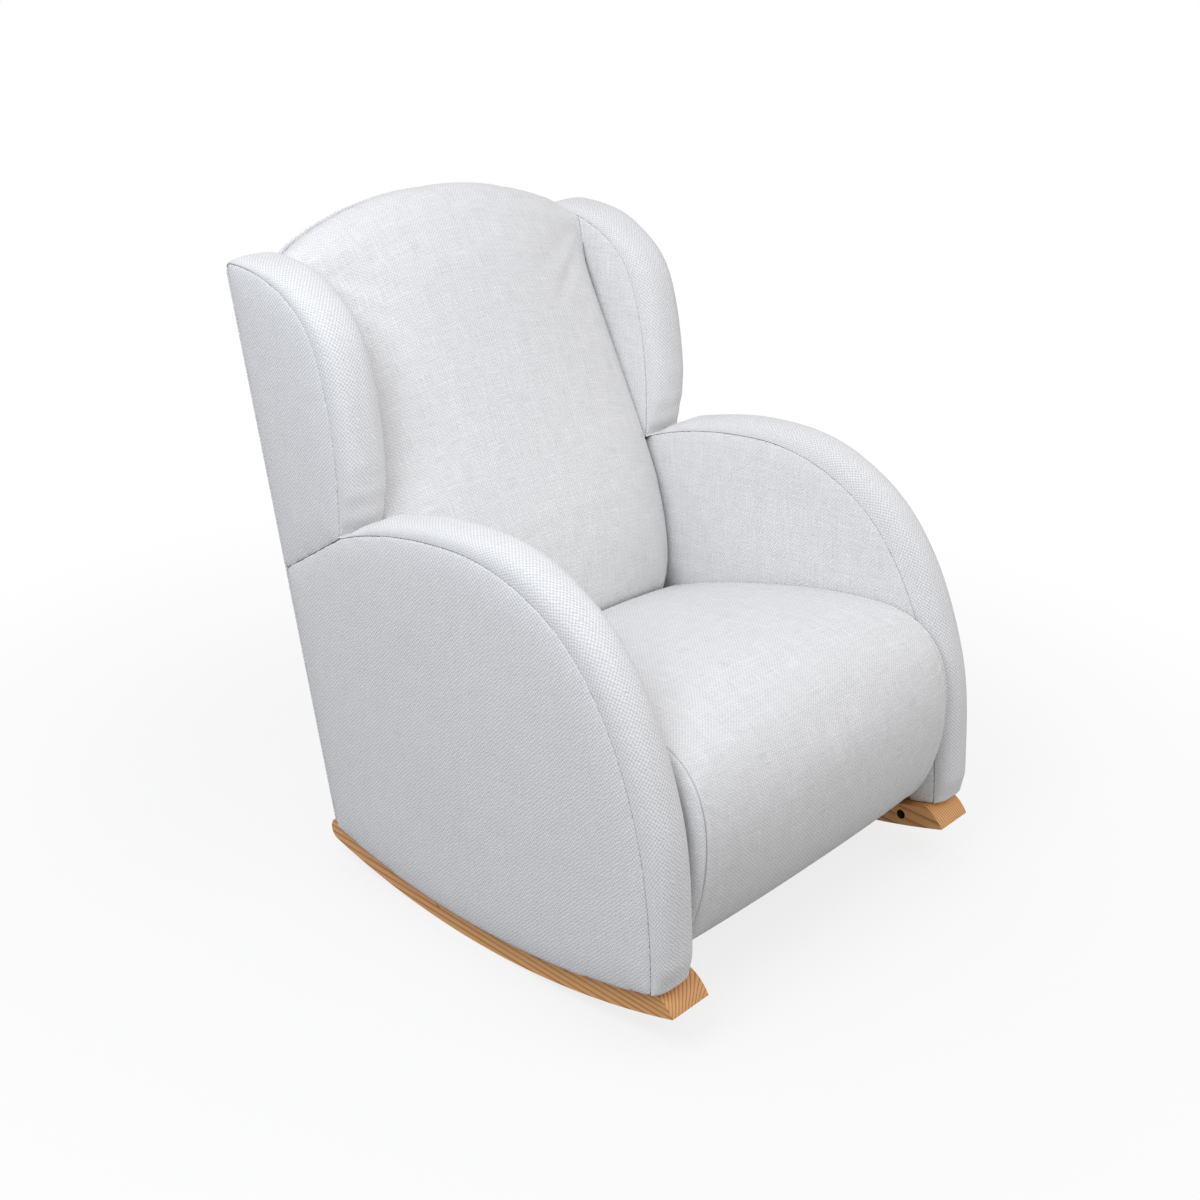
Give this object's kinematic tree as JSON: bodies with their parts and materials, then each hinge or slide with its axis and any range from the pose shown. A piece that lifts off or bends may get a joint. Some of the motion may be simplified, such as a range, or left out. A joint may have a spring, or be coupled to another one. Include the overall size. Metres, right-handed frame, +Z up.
{
  "type": "nursing rocking chair",
  "caption": "Upholstered wing rocking chair with an arched back, round padded arms, a rolled seat front and curved pine rockers.",
  "frame": {"origin": "on the floor, under the middle of the chair's width and depth; the rockers touch the floor 59 mm in front of it", "axes": "+Z up, -Y the way the sitter faces, +X to the sitter's left; left and right in names are the sitter's own"},
  "size_m": [0.745, 0.909, 0.9701],
  "materials": {
    "rocker_pine": "golden pine with reddish grain lines, satin lacquer",
    "dowel_beech": "bare beech",
    "frame_pine": "bare sawn pine, hidden",
    "zinc_steel": "zinc plated",
    "webbing": "woven elastic webbing, hidden",
    "hardboard": "hardboard, hidden",
    "foam": "open cell foam, hidden",
    "cover_smooth": "off-white linen-look weave with slubs, matt",
    "cover_basket": "off-white fine basket weave, matt",
    "lining": "thin spunbonded lining, matt"
  },
  "bodies": {
    "root": {"rocker_left": "rocker_pine", "rocker_right": "rocker_pine", "rocker_bolts": "zinc_steel", "bolt_washers": "zinc_steel", "barrel_nuts": "zinc_steel", "rocker_dowels": "dowel_beech", "bottom_rail_left": "frame_pine", "bottom_rail_right": "frame_pine", "arm_frame_left": "frame_pine", "arm_frame_right": "frame_pine", "back_post_left": "frame_pine", "back_post_right": "frame_pine", "wing_frame_left": "frame_pine", "wing_frame_right": "frame_pine", "front_rail": "frame_pine", "rear_rail": "frame_pine", "seat_rail_left": "frame_pine", "seat_rail_right": "frame_pine", "corner_blocks": "frame_pine", "lower_back_rail": "frame_pine", "lumbar_rail": "frame_pine", "top_rail": "frame_pine", "frame_screws": "zinc_steel", "seat_webbing": "webbing", "back_webbing": "webbing", "side_board_left": "hardboard", "side_board_right": "hardboard", "back_board": "hardboard", "seat_foam": "foam", "back_foam": "foam", "arm_outer_panel_left": "cover_basket", "arm_outer_panel_right": "cover_basket", "arm_inner_panel_left": "cover_smooth", "arm_inner_panel_right": "cover_smooth", "arm_band_left": "cover_basket", "arm_band_right": "cover_basket", "wing_outer_panel_left": "cover_basket", "wing_outer_panel_right": "cover_basket", "wing_inner_panel_left": "cover_smooth", "wing_inner_panel_right": "cover_smooth", "wing_band_left": "cover_basket", "wing_band_right": "cover_basket", "seat_cushion": "cover_smooth", "back_cushion": "cover_smooth", "rear_panel": "cover_basket", "bottom_cover": "lining"}
  },
  "joints": []
}
